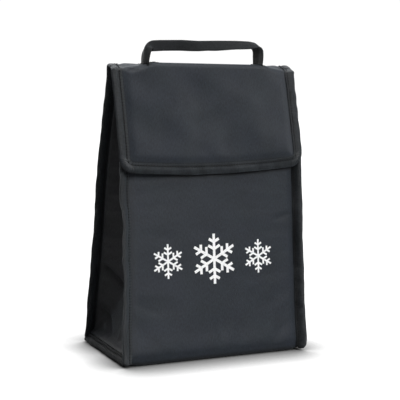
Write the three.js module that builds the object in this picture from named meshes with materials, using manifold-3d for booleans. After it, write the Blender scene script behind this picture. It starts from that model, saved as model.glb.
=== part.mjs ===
// Insulated foldover cooler bag. Units are millimetres, +Z is up and -Y is the front.
// The origin is the centre of the bag's footprint, on the floor.
import * as THREE from "three";
import Module from "manifold-3d";
import { mergeVertices } from "three/addons/utils/BufferGeometryUtils.js";

const wasm = await Module();
wasm.setup();

// Overall sizes.
const WIDTH = 200; // over the bound seams
const DEPTH = 118; // at the floor
const HEIGHT = 291; // floor to the top of the crest
const SEAM = 10; // how far a bound seam stands out beside a panel
const CREST_FRONT_Y = -31; // the crest's front fold
const CREST_BACK_Y = -11; // the crest's rear fold
const FRONT_TOP_Y = -26.8; // outer face of the front wall, measured at the crest's height

// The wall is a laminate: fabric outside, foam, lining inside, with a working gap between layers.
const FABRIC = 0.8;
const FOAM = 2;
const LINING = 0.5;
const GAP = 0.3;
const LAYERS = {
  outer: [0, FABRIC],
  foam: [FABRIC + GAP, FABRIC + GAP + FOAM],
  lining: [FABRIC + FOAM + 2 * GAP, FABRIC + FOAM + 2 * GAP + LINING],
};
const WALL = LAYERS.lining[1];
const LAYER_LOOK = { outer: "fabric", foam: "foam", lining: "foil" };

// The bound seams.
const TAPE = 3; // thickness of a bound seam on the walls
const FLAP_TAPE = 4.6; // thickness of the flap's bound edge
const FLAP_TAPE_WIDTH = 11;

// The front wall and the mouth.
const MOUTH_Z = 268; // top edge of the front wall's layers
const HEM_LEG = 8;
const HEM_TAPE = 0.8;
const BACK_TOP_Z = 285;

// The flap.
const FLAP_TOP_Z = 284.5;
const FLAP_BOTTOM_Z = 186;
const FLAP_STANDOFF = 7.4; // flap's outer face in front of the front wall's outer face
const FLAP_CORNER = 8;

// Hook and loop closure.
const CLOSURE_WIDTH = 80;
const CLOSURE_Z = [200, 220];
const CLOSURE_TAPE = 1.2;

// The gussets fold inwards above a triangle on the base.
const FOLD_DEPTH = 24;
const FOLD_APEX_Z = 95;
const GUSSET_TOP_Z = 258;

// The handle is a strap folded in half along the grip.
const STRAP = 21;
const STRAP_THICKNESS = 1.2;
const HANDLE_SPAN = 136; // over both legs
const HANDLE_X = -2; // its middle
const HANDLE_Y = (CREST_FRONT_Y + CREST_BACK_Y) / 2;
const HANDLE_TOP_Z = 316;
const HANDLE_BEND = 14;
const ROOT_FOLD = 78; // degrees from the strap's middle line to each half: 90 is flat
const GRIP_FOLD = 15;
const FOOT_TOP_Z = 299.6; // the loop swings clear of the feet
const ROOT_GAP = 0.4;
const END_LENGTH = 0.8 * STRAP; // of each sewn end, along the crest
const FOOT_STEPS = 4;
const BEND_STEPS = 6;
const GRIP_STEPS = 4;

// The printed snowflakes.
const PRINT = 0.4;
const PRINT_Z = 100;
const FLAKES = { centre: [0, 25], left: [-50, 17], right: [50, 17] }; // middle x, arm length
const FLAKE_STROKE = 0.13; // of the arm's length
const FLAKE_BARB = 0.36;
const FLAKE_BARB_AT = 0.58;

// Worked out from the sizes above.
const HALF = WIDTH / 2;
const PANEL = HALF - SEAM;
const FRONT_Y = -DEPTH / 2;
const BACK_Y = DEPTH / 2;
const FRONT_SLOPE = (FRONT_TOP_Y - FRONT_Y) / HEIGHT;
const BACK_SLOPE = (CREST_BACK_Y - BACK_Y) / HEIGHT;
const FRONT_COS = Math.cos(Math.atan(FRONT_SLOPE));
const BACK_COS = Math.cos(Math.atan(BACK_SLOPE));
const WALL_BOTTOM_Z = FABRIC + GAP;
const BASE_TOP_Z = WALL;

const bag = new THREE.Group();
bag.name = "insulated_cooler_bag";

const LOOKS = {
  fabric: { color: 0x202328, roughness: 0.75 },
  binding: { color: 0x1a1d21, roughness: 0.7 },
  webbing: { color: 0x1c1f23, roughness: 0.7 },
  foam: { color: 0xe4e4e0, roughness: 0.9 },
  foil: { color: 0xc2c6ca, roughness: 0.3, metalness: 0.8 },
  closure: { color: 0x121315, roughness: 0.95 },
  print: { color: 0xf4f4f4, roughness: 0.6 },
};

function add(name, look, geometry) {
  const mesh = new THREE.Mesh(geometry, new THREE.MeshStandardMaterial(LOOKS[look]));
  mesh.name = name;
  bag.add(mesh);
  return mesh;
}

// A straight bar along X whose outline is given as [y, z] points.
function bar(outline, x0, x1) {
  const shape = new THREE.Shape(outline.map(([y, z]) => new THREE.Vector2(y, z)));
  const geometry = new THREE.ExtrudeGeometry(shape, { depth: x1 - x0, bevelEnabled: false });
  const axes = new THREE.Matrix4().makeBasis(
    new THREE.Vector3(0, 1, 0),
    new THREE.Vector3(0, 0, 1),
    new THREE.Vector3(1, 0, 0),
  );
  geometry.applyMatrix4(axes);
  geometry.translate(x0, 0, 0);
  return geometry;
}

// The Y of a point in a sloping wall, at height z and depth t below the wall's outer face.
function frontY(z, t) {
  return FRONT_Y + FRONT_SLOPE * z + t / FRONT_COS;
}

function backY(z, t) {
  return BACK_Y + BACK_SLOPE * z - t / BACK_COS;
}

// The outline of one layer of a sloping wall, cut level at the bottom and the top.
function wallOutline(wallY, [t0, t1], z0, z1) {
  return [
    [wallY(z0, t0), z0],
    [wallY(z1, t0), z1],
    [wallY(z1, t1), z1],
    [wallY(z0, t1), z0],
  ];
}

function rectangle(y0, y1, z0, z1) {
  return [
    [y0, z0],
    [y1, z0],
    [y1, z1],
    [y0, z1],
  ];
}

// A piece drawn flat in the front wall's plane as (x, z) and thickened between depths t0 and t1.
function onFront(shape, t0, t1) {
  const flat = new THREE.ExtrudeGeometry(shape, { depth: 1, bevelEnabled: false, curveSegments: 8 });
  const place = flat.attributes.position;
  for (let i = 0; i < place.count; i++) {
    const z = place.getY(i);
    const t = THREE.MathUtils.lerp(t1, t0, place.getZ(i));
    place.setXYZ(i, place.getX(i), frontY(z, t), z);
  }
  return flat;
}

function solidOf(geometry) {
  const bare = geometry.clone();
  bare.deleteAttribute("normal");
  bare.deleteAttribute("uv");
  const merged = mergeVertices(bare, 1e-4);
  return new wasm.Manifold(
    new wasm.Mesh({
      numProp: 3,
      vertProperties: merged.attributes.position.array,
      triVerts: new Uint32Array(merged.index.array),
    }),
  );
}

function geometryOf(solid) {
  const mesh = solid.getMesh();
  const geometry = new THREE.BufferGeometry();
  geometry.setAttribute("position", new THREE.BufferAttribute(mesh.vertProperties, mesh.numProp));
  geometry.setIndex(new THREE.BufferAttribute(mesh.triVerts, 1));
  geometry.computeVertexNormals();
  return geometry;
}

// Front and back walls.
for (const [layer, span] of Object.entries(LAYERS)) {
  const front = wallOutline(frontY, span, WALL_BOTTOM_Z, MOUTH_Z);
  add(`front_${layer}`, LAYER_LOOK[layer], bar(front, -PANEL, PANEL));
  const back = wallOutline(backY, span, WALL_BOTTOM_Z, BACK_TOP_Z);
  add(`back_${layer}`, LAYER_LOOK[layer], bar(back, -PANEL, PANEL));
}

// Base: its fabric runs under both walls, and its foam and lining stop inside them.
add("base_outer", "fabric", bar(rectangle(FRONT_Y, BACK_Y, ...LAYERS.outer), -PANEL, PANEL));
const baseFront = frontY(BASE_TOP_Z, WALL) + GAP;
const baseBack = backY(BASE_TOP_Z, WALL) - GAP;
add("base_foam", "foam", bar(rectangle(baseFront, baseBack, ...LAYERS.foam), -PANEL, PANEL));
add("base_lining", "foil", bar(rectangle(baseFront, baseBack, ...LAYERS.lining), -PANEL, PANEL));

// Front hem: tape folded over the front wall's top edge, at the mouth.
const hemTop = MOUTH_Z + GAP;
const hemBottom = MOUTH_Z - HEM_LEG;
const hemOut = -GAP - HEM_TAPE;
const hemIn = WALL + GAP + HEM_TAPE;
const hemOutline = [
  [frontY(hemBottom, hemOut), hemBottom],
  [frontY(hemTop + HEM_TAPE, hemOut), hemTop + HEM_TAPE],
  [frontY(hemTop + HEM_TAPE, hemIn), hemTop + HEM_TAPE],
  [frontY(hemBottom, hemIn), hemBottom],
  [frontY(hemBottom, WALL + GAP), hemBottom],
  [frontY(hemTop, WALL + GAP), hemTop],
  [frontY(hemTop, -GAP), hemTop],
  [frontY(hemBottom, -GAP), hemBottom],
];
add("front_hem", "binding", bar(hemOutline, -PANEL, PANEL));

// A gusset layer: a folded sheet of six corners, and its copy further in.
function gussetLayer(side, [t0, t1], bottomZ) {
  const fold = (z) => FOLD_DEPTH * Math.min(1, (z - bottomZ) / (FOLD_APEX_Z - bottomZ));
  const front = (z) => frontY(z, WALL) + GAP;
  const back = (z) => backY(z, WALL) - GAP;
  const middle = (z) => (front(z) + back(z)) / 2;
  const corner = (y, z, depth, t) => [side * (PANEL - depth - t), y, z];
  const sheet = (t) => [
    corner(front(bottomZ), bottomZ, 0, t),
    corner(back(bottomZ), bottomZ, 0, t),
    corner(middle(FOLD_APEX_Z), FOLD_APEX_Z, fold(FOLD_APEX_Z), t),
    corner(back(GUSSET_TOP_Z), GUSSET_TOP_Z, 0, t),
    corner(middle(GUSSET_TOP_Z), GUSSET_TOP_Z, fold(GUSSET_TOP_Z), t),
    corner(front(GUSSET_TOP_Z), GUSSET_TOP_Z, 0, t),
  ];
  const faces = [
    [0, 1, 2],
    [1, 3, 4],
    [1, 4, 2],
    [0, 2, 4],
    [0, 4, 5],
  ];
  const rim = [0, 1, 3, 4, 5];
  const corners = [...sheet(t0), ...sheet(t1)];
  const inner = corners.length / 2;
  const index = [];
  for (const [a, b, c] of faces) {
    index.push(a, b, c);
    index.push(inner + a, inner + c, inner + b);
  }
  rim.forEach((a, i) => {
    const b = rim[(i + 1) % rim.length];
    index.push(a, inner + a, inner + b, a, inner + b, b);
  });
  if (side < 0) index.reverse();
  const geometry = new THREE.BufferGeometry();
  geometry.setAttribute("position", new THREE.Float32BufferAttribute(corners.flat(), 3));
  geometry.setIndex(index);
  geometry.computeVertexNormals();
  return geometry;
}

// Side bindings and gussets.
for (const [name, side] of [["left", -1], ["right", 1]]) {
  const inside = PANEL + GAP;
  const span = side < 0 ? [-HALF, -inside] : [inside, HALF];
  for (const [layer, depths] of Object.entries(LAYERS)) {
    const sheet = gussetLayer(side, depths, BASE_TOP_Z + GAP);
    add(`gusset_${name}_${layer}`, LAYER_LOOK[layer], sheet);
  }
  const front = wallOutline(frontY, [0, TAPE], TAPE + GAP, MOUTH_Z);
  add(`front_binding_${name}`, "binding", bar(front, ...span));
  const back = wallOutline(backY, [0, TAPE], TAPE + GAP, BACK_TOP_Z);
  add(`back_binding_${name}`, "binding", bar(back, ...span));
  add(`base_binding_${name}`, "binding", bar(rectangle(FRONT_Y, BACK_Y, 0, TAPE), ...span));
}

// Crest: the strip over the mouth, from the rear fold to the front fold.
function crestStrip([t0, t1], x0, x1) {
  return bar(rectangle(CREST_FRONT_Y, CREST_BACK_Y, HEIGHT - t1, HEIGHT - t0), x0, x1);
}
const inBinding = HALF - FLAP_TAPE_WIDTH - GAP;
add("crest_outer", "fabric", crestStrip(LAYERS.outer, -inBinding, inBinding));
add("crest_foam", "foam", crestStrip(LAYERS.foam, -inBinding, inBinding));
add("crest_lining", "foil", crestStrip(LAYERS.lining, -inBinding, inBinding));
add("crest_binding_left", "binding", crestStrip([0, WALL], -HALF, -inBinding - GAP));
add("crest_binding_right", "binding", crestStrip([0, WALL], inBinding + GAP, HALF));

// Flap: its layers lie inside a bound edge on the two sides and the bottom.
function flapPanel(half, bottomZ, radius) {
  const shape = new THREE.Shape();
  shape.moveTo(-half, FLAP_TOP_Z);
  shape.lineTo(-half, bottomZ + radius);
  shape.absarc(-half + radius, bottomZ + radius, radius, Math.PI, 1.5 * Math.PI);
  shape.lineTo(half - radius, bottomZ);
  shape.absarc(half - radius, bottomZ + radius, radius, -Math.PI / 2, 0);
  shape.lineTo(half, FLAP_TOP_Z);
  shape.closePath();
  return shape;
}

const flapInner = FLAP_BOTTOM_Z + FLAP_TAPE_WIDTH + GAP;
const innerCorner = FLAP_CORNER / 4;
for (const [layer, [t0, t1]] of Object.entries(LAYERS)) {
  const panel = flapPanel(inBinding, flapInner, innerCorner);
  add(`flap_${layer}`, LAYER_LOOK[layer], onFront(panel, t0 - FLAP_STANDOFF, t1 - FLAP_STANDOFF));
}
const edge = solidOf(
  onFront(flapPanel(HALF, FLAP_BOTTOM_Z, FLAP_CORNER), -FLAP_STANDOFF, FLAP_TAPE - FLAP_STANDOFF),
);
const opening = new THREE.Shape();
const openingHalf = inBinding + GAP;
opening.moveTo(-openingHalf, HEIGHT);
opening.lineTo(-openingHalf, flapInner - GAP);
opening.lineTo(openingHalf, flapInner - GAP);
opening.lineTo(openingHalf, HEIGHT);
opening.closePath();
const cutter = solidOf(onFront(opening, -FLAP_STANDOFF - FLAP_TAPE, FLAP_TAPE));
add("flap_binding", "binding", geometryOf(edge.subtract(cutter)));

// Closure: hook tape inside the flap and loop tape on the front wall.
function closureStrip() {
  const shape = new THREE.Shape();
  shape.moveTo(-CLOSURE_WIDTH / 2, CLOSURE_Z[0]);
  shape.lineTo(CLOSURE_WIDTH / 2, CLOSURE_Z[0]);
  shape.lineTo(CLOSURE_WIDTH / 2, CLOSURE_Z[1]);
  shape.lineTo(-CLOSURE_WIDTH / 2, CLOSURE_Z[1]);
  shape.closePath();
  return shape;
}
const hookFace = WALL + GAP - FLAP_STANDOFF;
add("hook_tape", "closure", onFront(closureStrip(), hookFace, hookFace + CLOSURE_TAPE));
add("loop_tape", "closure", onFront(closureStrip(), -GAP - CLOSURE_TAPE, -GAP));

// Print: snowflakes of six arms, each arm with one pair of barbs.
function snowflake(x, reach) {
  const width = reach * FLAKE_STROKE;
  const barb = reach * FLAKE_BARB;
  const barbAt = reach * FLAKE_BARB_AT;
  const stroke = (length, angle, from) => {
    const shape = new THREE.Shape();
    const along = new THREE.Vector2(Math.sin(angle), Math.cos(angle));
    const across = new THREE.Vector2(along.y, -along.x).multiplyScalar(width / 2);
    const start = from.clone();
    const end = from.clone().addScaledVector(along, length);
    shape.setFromPoints([
      start.clone().sub(across),
      start.clone().add(across),
      end.clone().add(across),
      end.clone().sub(across),
    ]);
    return solidOf(onFront(shape, -GAP - PRINT, -GAP));
  };
  let flake = null;
  for (let arm = 0; arm < 6; arm++) {
    const angle = (arm * Math.PI) / 3;
    const middle = new THREE.Vector2(x, PRINT_Z);
    const branch = new THREE.Vector2(Math.sin(angle), Math.cos(angle)).multiplyScalar(barbAt).add(middle);
    const strokes = [
      stroke(reach, angle, middle),
      stroke(barb, angle - Math.PI / 3, branch),
      stroke(barb, angle + Math.PI / 3, branch),
    ];
    for (const one of strokes) flake = flake ? flake.add(one) : one;
  }
  return geometryOf(flake);
}
for (const [name, [x, reach]] of Object.entries(FLAKES)) {
  add(`front_print_${name}`, "print", snowflake(x, reach));
}

// Handle: the strap's section is flat at its two roots, and folded in half from the feet upwards.
function station(side, height, fold) {
  const middle = side * (HANDLE_SPAN / 2 - HANDLE_BEND);
  const x = HANDLE_X + middle + side * HANDLE_BEND;
  return { x, z: height, angle: side < 0 ? Math.PI : 0, fold };
}

function handleFoot(side) {
  const root = HEIGHT + FABRIC + 2 * GAP;
  const stations = [];
  for (let i = 0; i <= FOOT_STEPS; i++) {
    const share = i / FOOT_STEPS;
    const height = THREE.MathUtils.lerp(root, FOOT_TOP_Z, share);
    stations.push(station(side, height, THREE.MathUtils.lerp(ROOT_FOLD, GRIP_FOLD, share)));
  }
  return stations;
}

function handleLoop() {
  const reach = HANDLE_SPAN / 2 - HANDLE_BEND;
  const stations = [];
  for (let i = 0; i <= BEND_STEPS; i++) {
    const angle = Math.PI - (i / BEND_STEPS) * (Math.PI / 2);
    stations.push(bend(-reach, angle));
  }
  for (let i = 1; i < GRIP_STEPS; i++) {
    stations.push(bend(THREE.MathUtils.lerp(-reach, reach, i / GRIP_STEPS), Math.PI / 2));
  }
  for (let i = 0; i <= BEND_STEPS; i++) {
    const angle = Math.PI / 2 - (i / BEND_STEPS) * (Math.PI / 2);
    stations.push(bend(reach, angle));
  }
  return stations;
}

function bend(middle, angle) {
  const x = HANDLE_X + middle + HANDLE_BEND * Math.cos(angle);
  const z = HANDLE_TOP_Z - HANDLE_BEND + HANDLE_BEND * Math.sin(angle);
  return { x, z, angle, fold: GRIP_FOLD };
}

function handleSection({ x, z, angle, fold }) {
  const half = STRAP / 2;
  const turn = THREE.MathUtils.degToRad(fold);
  const tipY = half * Math.sin(turn);
  const tipR = -half * Math.cos(turn);
  const inY = tipY - STRAP_THICKNESS * Math.cos(turn);
  const inR = tipR - STRAP_THICKNESS * Math.sin(turn);
  const outline = [
    [0, 0],
    [tipY, tipR],
    [inY, inR],
    [0, -STRAP_THICKNESS / Math.sin(turn)],
    [-inY, inR],
    [-tipY, tipR],
  ];
  return outline.map(([y, r]) => [x + r * Math.cos(angle), HANDLE_Y + y, z + r * Math.sin(angle)]);
}

function sweep(rings) {
  const size = rings[0].length;
  const index = [];
  for (let i = 0; i + 1 < rings.length; i++) {
    for (let j = 0; j < size; j++) {
      const a = i * size + j;
      const b = i * size + ((j + 1) % size);
      index.push(a, b + size, b, a, a + size, b + size);
    }
  }
  const cap = [
    [0, 1, 2],
    [0, 2, 3],
    [0, 3, 4],
    [0, 4, 5],
  ];
  const last = (rings.length - 1) * size;
  for (const [a, b, c] of cap) {
    index.push(a, b, c);
    index.push(last + a, last + c, last + b);
  }
  const geometry = new THREE.BufferGeometry();
  geometry.setAttribute("position", new THREE.Float32BufferAttribute(rings.flat(2), 3));
  geometry.setIndex(index);
  geometry.computeVertexNormals();
  return geometry;
}
add("handle_strap", "webbing", sweep(handleLoop().map(handleSection)));

// Each foot stands on the strap's end, which lies flat on the crest and is sewn down.
for (const [name, side] of [["left", -1], ["right", 1]]) {
  const foot = handleFoot(side).map(handleSection);
  add(`handle_foot_${name}`, "webbing", sweep(side < 0 ? foot : foot.reverse()));
  const outside = HANDLE_X + side * (HANDLE_SPAN / 2);
  const inner = outside - side * END_LENGTH;
  const y0 = CREST_FRONT_Y + ROOT_GAP;
  const y1 = CREST_BACK_Y - ROOT_GAP;
  const z0 = HEIGHT + GAP;
  const outline = rectangle(y0, y1, z0, z0 + FABRIC);
  add(`handle_end_${name}`, "webbing", bar(outline, Math.min(inner, outside), Math.max(inner, outside)));
}

export default bag;
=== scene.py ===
"""Insulated foldover cooler bag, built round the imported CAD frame. Metres, +Z up, -Y the front."""
import math

import bmesh
import bpy
import numpy as np
from mathutils import Matrix, Vector, noise


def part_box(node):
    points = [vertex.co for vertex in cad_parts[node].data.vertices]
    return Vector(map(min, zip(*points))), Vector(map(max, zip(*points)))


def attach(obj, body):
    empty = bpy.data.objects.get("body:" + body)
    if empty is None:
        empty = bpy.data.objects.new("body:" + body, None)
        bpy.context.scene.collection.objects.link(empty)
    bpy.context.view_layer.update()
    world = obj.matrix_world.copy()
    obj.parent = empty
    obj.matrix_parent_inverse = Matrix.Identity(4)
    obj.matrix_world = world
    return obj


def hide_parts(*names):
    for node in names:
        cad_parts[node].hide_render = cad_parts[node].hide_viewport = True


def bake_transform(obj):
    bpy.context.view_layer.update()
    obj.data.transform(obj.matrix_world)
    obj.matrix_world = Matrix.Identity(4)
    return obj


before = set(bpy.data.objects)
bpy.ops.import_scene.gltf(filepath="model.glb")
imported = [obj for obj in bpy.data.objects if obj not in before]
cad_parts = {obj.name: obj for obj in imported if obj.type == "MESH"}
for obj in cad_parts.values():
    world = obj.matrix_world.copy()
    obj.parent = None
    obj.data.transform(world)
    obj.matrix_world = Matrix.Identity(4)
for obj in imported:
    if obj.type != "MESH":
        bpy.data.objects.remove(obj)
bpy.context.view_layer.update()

MM = 0.001

# How each wall is made up, from the outside in: depths below the outer face.
COVER = (0.0, 0.7 * MM)
PADDING = (0.9 * MM, 3.0 * MM)
LINING = (3.2 * MM, 3.7 * MM)
FOLD_RADIUS = 4 * MM
STEP = 2.2 * MM  # size of a wall's mesh faces

# Sewing.
TAPE_WIDTH = 10.4 * MM  # of a bound seam, from its inner edge to its rounded edge
TAPE_HALF = 1.9 * MM  # half the thickness of a bound seam
TAPE_CLOTH = 0.7 * MM
TAPE_NOSE = 3.6 * MM  # length of its rounded edge
STITCH_PITCH = 2.8 * MM
STITCH_LENGTH = 2.2 * MM
THREAD = 0.5 * MM  # radius
STITCH_INSET = 2.4 * MM  # from the tape's inner edge
STITCH_DIP = 0.5 * MM  # how far the stitches draw the tape in
TUCK = 2.4 * MM  # how far the wall goes into a bound seam
SQUEEZE = 0.33  # of the wall's thickness, inside a bound seam
SEAM_SLOPE = 8 * MM  # from a bound seam to the wall's full thickness
SEAM_DEPTH = 2.0 * MM  # of a bound seam's middle, below the wall's outer face
SEAM_STEP = 1.5 * MM  # between the places that set a seam's line
SEAM_LIFT = 3 * MM  # of the upright seams' lower ends, above the floor
FLAP_CORNER = 4 * MM  # radius

# The front fold arches up between the handle's roots and drops towards the two top corners.
ARCH = 2.4 * MM
CORNER_DROP = 4.8 * MM
REAR_RISE = 1.4 * MM
DROP_FROM = 56 * MM
DROP_TO = 84 * MM

# The front's bound edges: how far inside the bag's sides they start, and how far each metre up moves
# them to the right.
FRONT_LEFT = (8.6 * MM, 0.019)
FRONT_RIGHT = (7.0 * MM, 0.004)
GATHER = 7 * MM  # how far both draw in behind the flap
LEFT_LEAN = (14, 22)  # degrees that the left seam is turned by at its foot, and more than that halfway up
RIGHT_LEAN = 44

# The flap's bound edges: how far to the right they are moved at the bottom, and how far each metre up
# moves them back.
FLAP_LEFT = (1.9 * MM, 0.052)
FLAP_RIGHT = (4.4 * MM, 0.072)

# The flap's bottom edge: how far it hangs down at its lowest place, the x of that place, and how much
# higher the edge is at that distance from it.
SAG = 2.6 * MM
SAG_X = -15 * MM
SAG_RISE = (6.3 * MM, 112 * MM)

# Swells of the front's foot and of the filled-out back: height, the z of its middle, and spread.
BELLY = (1.6 * MM, 14 * MM, 12 * MM)
BULGE = (5.6 * MM, 200 * MM, 64 * MM)

# Creases of the front and of the gussets, in millimetres: both ends, width and depth.
FRONT_CREASES = (
    ((70, 136), (88, 141), 1.8, 0.9),
    ((-84, 60), (-60, 48), 3, 0.8),
)
GUSSET_CREASES = (
    ((32, 88), (4, 58), 2.6, 4.0),
    ((6, 66), (-22, 40), 2.0, -3.0),
    ((-12, 60), (-44, 30), 2.4, 3.4),
    ((-30, 52), (-46, 36), 1.6, -1.6),
    ((44, 40), (10, 14), 2.8, 2.6),
)

# The base.
FLOOR_GAP = 0.3 * MM
UNDER_Y = 49.5 * MM  # how far in below the base the front and back covers reach
BASE_RISE = 8.4 * MM
BASE_TURN = 10 * MM
BASE_SINK = 3.2 * MM  # of the turned-up edge below the top of its seam
BASE_DROOP = math.radians(60)

# The gussets.
APEX_Z = 95 * MM  # top of the triangle that stands on the base
GUSSET_FOOT = BASE_RISE + 1.6 * MM
GUSSET_COLUMNS = 97
GUSSET_STEP = 1.6 * MM
GUSSET_HEM = 7 * MM  # how far its cover is turned in over its top edge
INSIDE_SEAM = 0.75 * MM  # from the seam's middle to the gusset's face, inside the tape
BESIDE_SEAM = TAPE_HALF + SQUEEZE * LINING[1] + 1.6 * MM
FLANGE = 1.8 * MM  # how far its sewn edge goes into the seam
FLANGE_START = 0.5 * MM  # it turns off between this far inside the seam
FLANGE_END = 0.6 * MM  # and this far outside it

# The print and the handle.
PRINT_HEIGHT = 0.16 * MM
STRAP = 21.4 * MM  # its width, unfolded
STRAP_CLOTH = 1.4 * MM
STRAP_BEND = 0.9 * MM  # radius of its lengthwise fold
TAB_INSET = 3.4 * MM  # of a sewn end inside its CAD box, at the front and the back
TAB_SINK = 0.5 * MM  # into the crest
TAB_CLOTH = 0.9 * MM
TAB_SEAM = 2.0 * MM  # from its edges to the stitches

# The suns, as (name, the place it shines from, softness in degrees, strength), and the camera.
SUNS = (
    ("key", (1.0, -1.5, 1.15), 32, 2.6),
    ("top", (0.1, -0.1, 1.5), 60, 2.4),
    ("back", (0.2, 1.5, 0.7), 60, 1.4),
)
FLOOR_REACH = 6  # from the bag to the floor's edges
CAMERA_PLACE = (-0.4595, -0.9881, 0.2757)
CAMERA_TURN = (25.25, 6.39, 0.87)  # degrees to the right, down and of roll
LENS = 95.4


# Measures of the frame.
def corner(node, top, back):
    """(y, z) of one corner of a CAD node's outline: its top or bottom end, at its back or front face."""
    points = [v.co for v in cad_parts[node].data.vertices]
    z = (max if top else min)(p.z for p in points)
    ys = [p.y for p in points if abs(p.z - z) < 0.01 * MM]
    return (max if back else min)(ys), z


def on_line(a, b, z):
    """The y at height z on the line through two (y, z) points."""
    return a[0] + (b[0] - a[0]) * (z - a[1]) / (b[1] - a[1])


FRONT = (corner("front_outer", False, False), corner("front_outer", True, False))
BACK = (corner("back_outer", False, True), corner("back_outer", True, True))
FLAP = (corner("flap_binding", False, False), corner("flap_outer", True, False))
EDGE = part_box("base_binding_right")[1].x
CREST_LOW, CREST_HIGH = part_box("crest_outer")
CREST_Y = (CREST_LOW.y + CREST_HIGH.y) / 2
CREST_Z = CREST_HIGH.z
MOUTH_Z = FRONT[1][1]
GUSSET_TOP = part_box("gusset_left_outer")[1].z
GUSSET_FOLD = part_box("front_outer")[1].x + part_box("gusset_left_outer")[1].x
GUSSET_WIDTH = 2 * BACK[0][0]


# Small helpers.
def smooth(a, b, x):
    """0 below a, 1 above b, and a smooth rise between."""
    t = np.clip((np.asarray(x, float) - a) / (b - a), 0, 1)
    return t * t * (3 - 2 * t)


def unit(v):
    return v / np.linalg.norm(v, axis=-1, keepdims=True)


def distances(points):
    """How far along a line of points each one is."""
    steps = np.linalg.norm(np.diff(points, axis=0), axis=1)
    return np.concatenate([[0], np.cumsum(steps)])


def pick(values, at):
    """Values of an (n, 3) array at fractional indices."""
    return np.stack([np.interp(at, np.arange(len(values)), values[:, k]) for k in range(3)], axis=1)


def wander(x, y, size, seed):
    """Smooth noise from -1 to 1, over two arrays of the same shape, with features of about that size."""
    places = zip(np.ravel(x), np.ravel(y))
    flat = [noise.noise(Vector((a / size, b / size, seed * 7.31))) for a, b in places]
    return np.array(flat).reshape(np.shape(x))


def crease(x, y, start, end, width, depth):
    """A fold line from start to end that is depth deep, with soft ends."""
    a, b = np.array(start, float), np.array(end, float)
    d = b - a
    length = np.linalg.norm(d)
    along = ((x - a[0]) * d[0] + (y - a[1]) * d[1]) / length**2
    across = ((x - a[0]) * d[1] - (y - a[1]) * d[0]) / length
    ends = smooth(-0.15, 0.25, along) * (1 - smooth(0.75, 1.15, along))
    return -depth * ends * np.exp(-np.sqrt((across / width) ** 2 + 0.04))


def creased(relief, x, y, table):
    """The relief with a table's creases added."""
    for start, end, width, depth in table:
        start, end = np.array(start) * MM, np.array(end) * MM
        relief = relief + crease(x, y, start, end, width * MM, depth * MM)
    return relief


class Path2:
    """A line of (y, z) points with rounded corners, and the outward side on its left or right."""

    def __init__(self, points, radius, outward):
        points = [np.array(p, float) for p in points]
        line = [points[0]]
        for before, here, after in zip(points, points[1:], points[2:]):
            a, b = unit(before - here), unit(after - here)
            half = math.acos(float(np.clip(a @ b, -1, 1))) / 2
            reach = radius / math.tan(half)
            middle = here + unit(a + b) * radius / math.sin(half)
            first, last = here + a * reach, here + b * reach
            for share in np.linspace(0, 1, 9):
                chord = first + (last - first) * share - middle
                line.append(middle + unit(chord) * radius)
        line.append(points[-1])
        along = distances(line)
        self.length = along[-1]
        self.s = np.linspace(0, self.length, 600)
        self.yz = np.stack([np.interp(self.s, along, np.array(line)[:, k]) for k in (0, 1)], axis=1)
        tangent = unit(np.gradient(self.yz, self.s, axis=0))
        self.normal = np.stack([tangent[:, 1], -tangent[:, 0]], axis=1) * outward

    def at(self, s):
        """y, z and the two parts of the outward direction at that distance along the line."""
        return [np.interp(s, self.s, values) for values in (*self.yz.T, *self.normal.T)]

    def nearest(self, y, z):
        """The distance along the line of the point nearest to (y, z)."""
        return self.s[np.argmin(np.hypot(self.yz[:, 0] - y, self.yz[:, 1] - z))]


class Strip:
    """A band of the wall across the bag: its outer face's line in the side view, a relief that lifts it
    off that line, the two bound edges that it is pinched to, a shift of the finished points, and for the
    flap the end of its line in a bound seam and a sag along its line."""

    def __init__(self, path, relief, edges, shift, bound_end=None, sag=None):
        self.path, self.relief, self.edges, self.shift = path, relief, edges, shift
        self.bound_end, self.sag = bound_end, sag

    def squeeze(self, x, s):
        """1 in the open wall, falling to SQUEEZE inside the bound seams, where the layers are sewn flat."""
        left, right = self.edges(s)
        room = np.minimum(x - left, right - x)
        if self.bound_end is not None:
            room = np.minimum(room, self.bound_end - s)
        return SQUEEZE + (1 - SQUEEZE) * smooth(-1 * MM, SEAM_SLOPE, room)

    def point(self, x, s, depth=0.0):
        """The point at x across the bag, s along the line and that depth below the outer face."""
        return self.plain(x, s, SEAM_DEPTH + (depth - SEAM_DEPTH) * self.squeeze(x, s))

    def plain(self, x, s, depth):
        """The same, as if the wall weren't squeezed there."""
        x, s = np.broadcast_arrays(np.asarray(x, float), np.asarray(s, float))
        y, z, ny, nz = self.path.at(s if self.sag is None else s + self.sag(x, s))
        lift = self.relief(x, s) - depth
        return self.shift(np.stack([x, y + ny * lift, z + nz * lift], axis=-1))

    def axes(self, x, s, depth=0.0):
        """The point, and the unit directions across and along the cloth and out of it, for arrays x and s."""
        e = 0.4 * MM
        across = unit(self.plain(x + e, s, depth) - self.plain(x - e, s, depth))
        along = unit(self.plain(x, s + e, depth) - self.plain(x, s - e, depth))
        normal = unit(np.cross(across, along))
        _, _, ny, nz = self.path.at(s)
        facing = np.sign(normal[..., 1] * ny + normal[..., 2] * nz)
        return self.plain(x, s, depth), across, along, normal * facing[..., None]


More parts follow.
